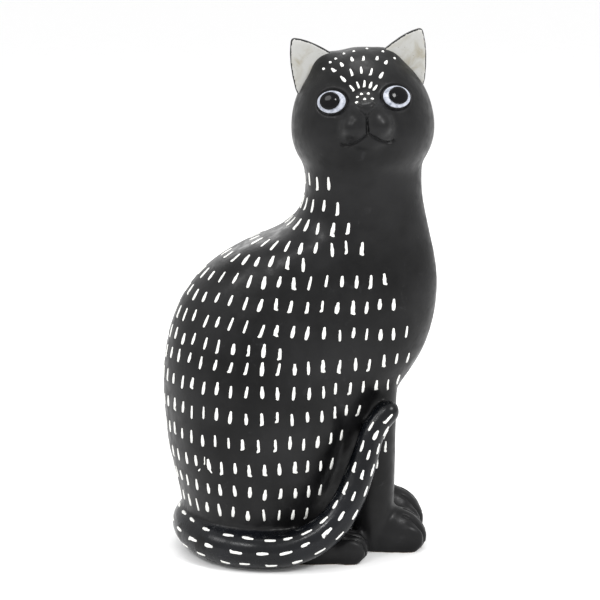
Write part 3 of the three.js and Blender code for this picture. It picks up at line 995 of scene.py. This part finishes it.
def spread(tree, value, low_in, high_in, low_out=0.0, high_out=1.0):
    node = tree.nodes.new("ShaderNodeMapRange")
    node.interpolation_type = "SMOOTHSTEP"
    tree.links.new(value, node.inputs["Value"])
    ends = {"From Min": low_in, "From Max": high_in, "To Min": low_out, "To Max": high_out}
    for socket, number in ends.items():
        node.inputs[socket].default_value = number
    return node.outputs["Result"]


def tint(tree, factor, one, other):
    """Mixes two colours, or a colour and another node's colour."""
    node = tree.nodes.new("ShaderNodeMix")
    node.data_type = "RGBA"
    tree.links.new(factor, node.inputs["Factor"])
    for socket, colour in ((node.inputs[6], one), (node.inputs[7], other)):
        if isinstance(colour, tuple):
            socket.default_value = (*colour, 1)
        else:
            tree.links.new(colour, socket)
    return node.outputs[2]


def relief(tree, height, depth, under=None):
    node = tree.nodes.new("ShaderNodeBump")
    node.inputs["Distance"].default_value = depth * MM
    tree.links.new(height, node.inputs["Height"])
    if under:
        tree.links.new(under, node.inputs["Normal"])
    return node.outputs["Normal"]


print("helpers for finishes are ready")

# %% [markdown]
# ### Satin black glaze
# The body's glaze is charcoal rather than black, smooth but not shiny. It is a little paler where it
# was rubbed, and it has a faint orange-peel surface. It was wiped off the very foot, so a mask from
# the height shows bare clay there.
# %% Black glaze and tail glaze
clay_colour = (0.42, 0.33, 0.25)


def black_glaze(name, dark, pale, gloss, dull, shine):
    material, tree, shader, place = new_finish(name)
    cloud = spread(tree, noise(tree, place, 34, 5), 0.35, 0.68)
    rubbed = spread(tree, noise(tree, place, 9, 8, 0.62, 0.6), 0.60, 0.78)
    colour = tint(tree, cloud, dark, pale)
    colour = tint(tree, rubbed, colour, tuple(2.0 * value for value in pale))
    peel = noise(tree, place, 1.6, 2)
    hand = noise(tree, place, 11, 3)
    shade = spread(tree, noise(tree, place, 5, 6), 0.3, 0.7, gloss, dull)
    parts = tree.nodes.new("ShaderNodeSeparateXYZ")
    tree.links.new(place, parts.inputs[0])
    wiped = spread(tree, parts.outputs["Z"], 0.0001, 0.0003, 1, 0)
    colour = tint(tree, wiped, colour, clay_colour)
    shader.inputs["Specular IOR Level"].default_value = shine
    tree.links.new(colour, shader.inputs["Base Color"])
    tree.links.new(shade, shader.inputs["Roughness"])
    tree.links.new(relief(tree, peel, 0.03, relief(tree, hand, 0.25)), shader.inputs["Normal"])
    return material


body_glaze = black_glaze("satin_black_glaze", (0.0016, 0.0016, 0.0018), (0.0085, 0.0085, 0.0090),
                         gloss=0.28, dull=0.46, shine=0.18)
tail_glaze = black_glaze("polished_black_glaze", (0.0018, 0.0022, 0.0030), (0.0045, 0.0052, 0.0072),
                         gloss=0.18, dull=0.32, shine=0.24)
print("finishes", body_glaze.name, tail_glaze.name)

# %% [markdown]
# ### Cream, white and clay
# The ears' cream has watery stains, the eyes' white is cold with grey mottling, the dashes are a
# chalky slip whose white is not quite even, and the pupils are a smooth black enamel with small
# highlights. The slab under the cat is unglazed clay with dark specks.
# %% Other finishes
def mottled(name, main, stain, size, amount, gloss, dull, grain):
    """A pale finish with stains of another colour; amount is how far they spread."""
    material, tree, shader, place = new_finish(name)
    stains = spread(tree, noise(tree, place, size, 6, 0.6, 0.8), 0.62 - amount, 0.78)
    specks = spread(tree, noise(tree, place, size / 9, 2), 0.70, 0.76)
    colour = tint(tree, stains, main, stain)
    colour = tint(tree, specks, colour, tuple(0.55 * value for value in stain))
    tree.links.new(colour, shader.inputs["Base Color"])
    shade = spread(tree, noise(tree, place, size / 2, 4), 0.3, 0.7, gloss, dull)
    tree.links.new(shade, shader.inputs["Roughness"])
    coarse = relief(tree, noise(tree, place, size / 3, 3), grain * 3)
    fine = relief(tree, noise(tree, place, size / 12, 3), grain, coarse)
    tree.links.new(fine, shader.inputs["Normal"])
    return material


cream_glaze = mottled("stained_cream_glaze", (0.385, 0.385, 0.37), (0.27, 0.25, 0.195),
                      size=9, amount=0.20, gloss=0.35, dull=0.5, grain=0.02)
eye_glaze = mottled("cold_white_glaze", (0.42, 0.44, 0.50), (0.13, 0.15, 0.19),
                    size=2.2, amount=0.24, gloss=0.22, dull=0.36, grain=0.015)
slip = mottled("white_slip_dash", (0.80, 0.80, 0.77), (0.60, 0.59, 0.54),
               size=3.2, amount=0.04, gloss=0.42, dull=0.6, grain=0.03)
bare_clay = mottled("bare_fired_clay", clay_colour, (0.30, 0.22, 0.16),
                    size=7, amount=0.14, gloss=0.8, dull=0.95, grain=0.06)
pupil_glaze = mottled("black_enamel", (0.003, 0.003, 0.0035), (0.008, 0.007, 0.006),
                      size=3, amount=0.1, gloss=0.05, dull=0.10, grain=0.004)
pupil_glaze.node_tree.nodes["Principled BSDF"].inputs["Specular IOR Level"].default_value = 0.13
print("finishes", [each.name for each in (cream_glaze, eye_glaze, slip, bare_clay, pupil_glaze)])

# %% [markdown]
# Each piece now takes its finish and rides on the one body of the cat, and the measured pieces it
# stands for are hidden. The inside of the foot's pocket is bare clay and the tail's glaze is glossier, so
# those faces of the body get finishes of their own.
# %% Finish, body and hidden measured pieces of each piece
def give(obj, material, slot_name, *stands_for):
    obj.data.materials.clear()
    obj.data.materials.append(material)
    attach(obj, "root")
    if stands_for:
        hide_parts(*stands_for)


give(body, body_glaze, "black_glaze", "torso_shell", "head_shell", "nose", "foreleg_left",
     "foreleg_right", "hind_paw_left", "hind_paw_right", "tail")
body.data.materials.append(bare_clay)
body.data.materials.append(tail_glaze)
print("tail faces", pick(body, lambda face: out_of_tail(face.calc_center_median()) < 0.6))
body.active_material_index = 2
bpy.ops.object.material_slot_assign()
leave()
print("pocket faces", pick(body, lambda face: face.index in pocket_faces))
body.active_material_index = 1
bpy.ops.object.material_slot_assign()
leave()
for word, ear, lining in zip(sides, ears, linings):
    give(ear, body_glaze, "black_glaze", "ear_" + word)
    give(lining, cream_glaze, "cream_glaze")
for word, white, pupil in zip(eye_frames, whites, pupils):
    give(white, eye_glaze, "eye_white", "eye_" + word)
    give(pupil, pupil_glaze, "pupil_gloss", "pupil_" + word)
for dashes in (body_dashes, face_dashes, tail_dashes):
    give(dashes, slip, "white_slip")
slab = frame["nodes"]["base_slab"]
slab.data.materials.clear()
slab.data.materials.append(bare_clay)

# %% [markdown]
# ## Studio
# The ornament stands on a plain pale floor in soft light. A satin black glaze shows little colour of
# its own, so what models its form is the broad, soft reflections: panels on both sides, above and
# behind, and a white room.
# %% Floor
bpy.ops.object.select_all(action="DESELECT")
bpy.ops.mesh.primitive_plane_add(size=60)
floor = added("studio_floor")
floor_finish, tree, shader, place = new_finish("pale_floor")
tree.links.new(tint(tree, noise(tree, place, 90, 4), (0.93, 0.93, 0.93), (0.95, 0.95, 0.95)),
               shader.inputs["Base Color"])
shader.inputs["Roughness"].default_value = 0.9
floor.data.materials.append(floor_finish)
print("floor", floor.name)


# %% Light
panel_aim = Vector((0, 0, 0.14))


def soft_panel(name, place, size, power):
    """A round panel that faces the cat; place and size in metres, power in watts."""
    bpy.ops.object.light_add(type="AREA", location=place)
    panel = bpy.context.object
    panel.name = name
    panel.data.shape = "DISK"
    panel.data.size = size
    panel.data.energy = power
    panel.rotation_euler = (panel_aim - panel.location).to_track_quat("-Z", "Y").to_euler()
    return panel


soft_panel("key_panel", (0.72, -0.66, 0.97), 0.3, 8)
soft_panel("small_key", (-0.55, -0.8, 1.0), 0.14, 3)
soft_panel("left_panel", (-1.2, -0.5, 1.2), 0.5, 5)
soft_panel("top_panel", (0, 0.2, 1.7), 0.6, 8)
soft_panel("back_panel", (-0.5, 1.5, 0.9), 0.8, 5)
room = bpy.data.worlds.new("white_room")
room.use_nodes = True
room.node_tree.nodes["Background"].inputs["Color"].default_value = (1, 1, 1, 1)
room.node_tree.nodes["Background"].inputs["Strength"].default_value = 1.05
bpy.context.scene.world = room
bpy.context.scene.view_settings.view_transform = "Standard"
